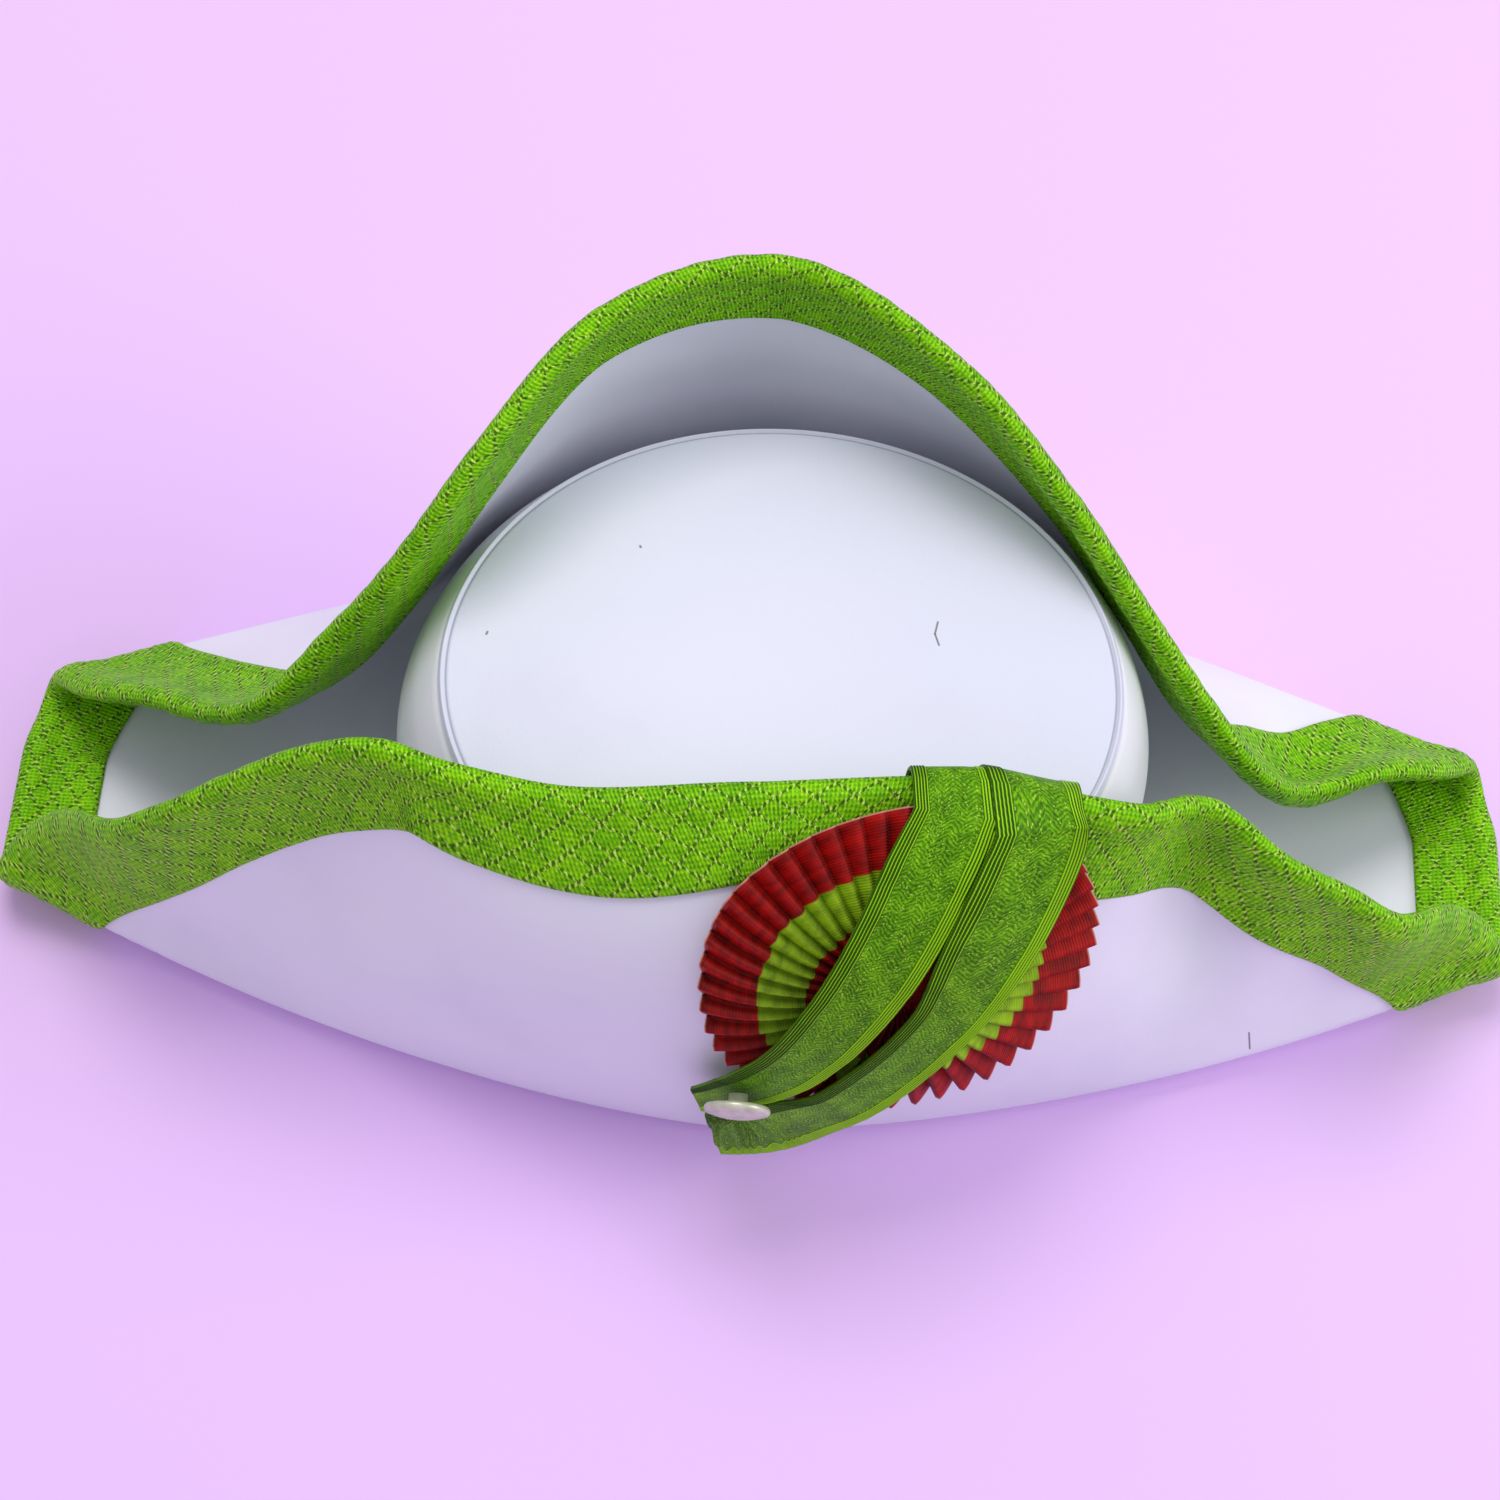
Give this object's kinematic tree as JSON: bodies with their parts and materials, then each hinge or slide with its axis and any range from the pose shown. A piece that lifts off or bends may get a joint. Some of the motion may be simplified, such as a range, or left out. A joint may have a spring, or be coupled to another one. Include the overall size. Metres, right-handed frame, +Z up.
{
  "type": "ceremonial bicorne hat",
  "caption": "Cocked hat with turned-up front and back brim, padded lace along the edge, oval crown, pleated striped cockade, lace loop and button.",
  "frame": {"origin": "middle of the hat's outer box, on the surface that it lies on", "axes": "+X along the hat's length, to the right when the cockade faces the viewer; -Y out of the front flap, where the cockade is; +Z up through the crown's top"},
  "size_m": [0.4448, 0.2188, 0.1529],
  "materials": {
    "white_cover": "smooth white leather cloth with a soft satin gloss",
    "green_edge_lace": "metallic lime green lace with a woven diamond pattern",
    "green_loop_lace": "metallic lime green lace with raised cords along both sides",
    "striped_ribbon": "pleated ribbed ribbon, deep red with one olive lime stripe",
    "pearly_button": "pale glossy button"
  },
  "bodies": {
    "root": {"brim": "white_cover", "crown_side": "white_cover", "crown_tip": "white_cover", "edge_lace": "green_edge_lace", "loop_left_strip": "green_loop_lace", "loop_right_strip": "green_loop_lace", "cockade_ribbon": "striped_ribbon", "button": "pearly_button"}
  },
  "joints": []
}
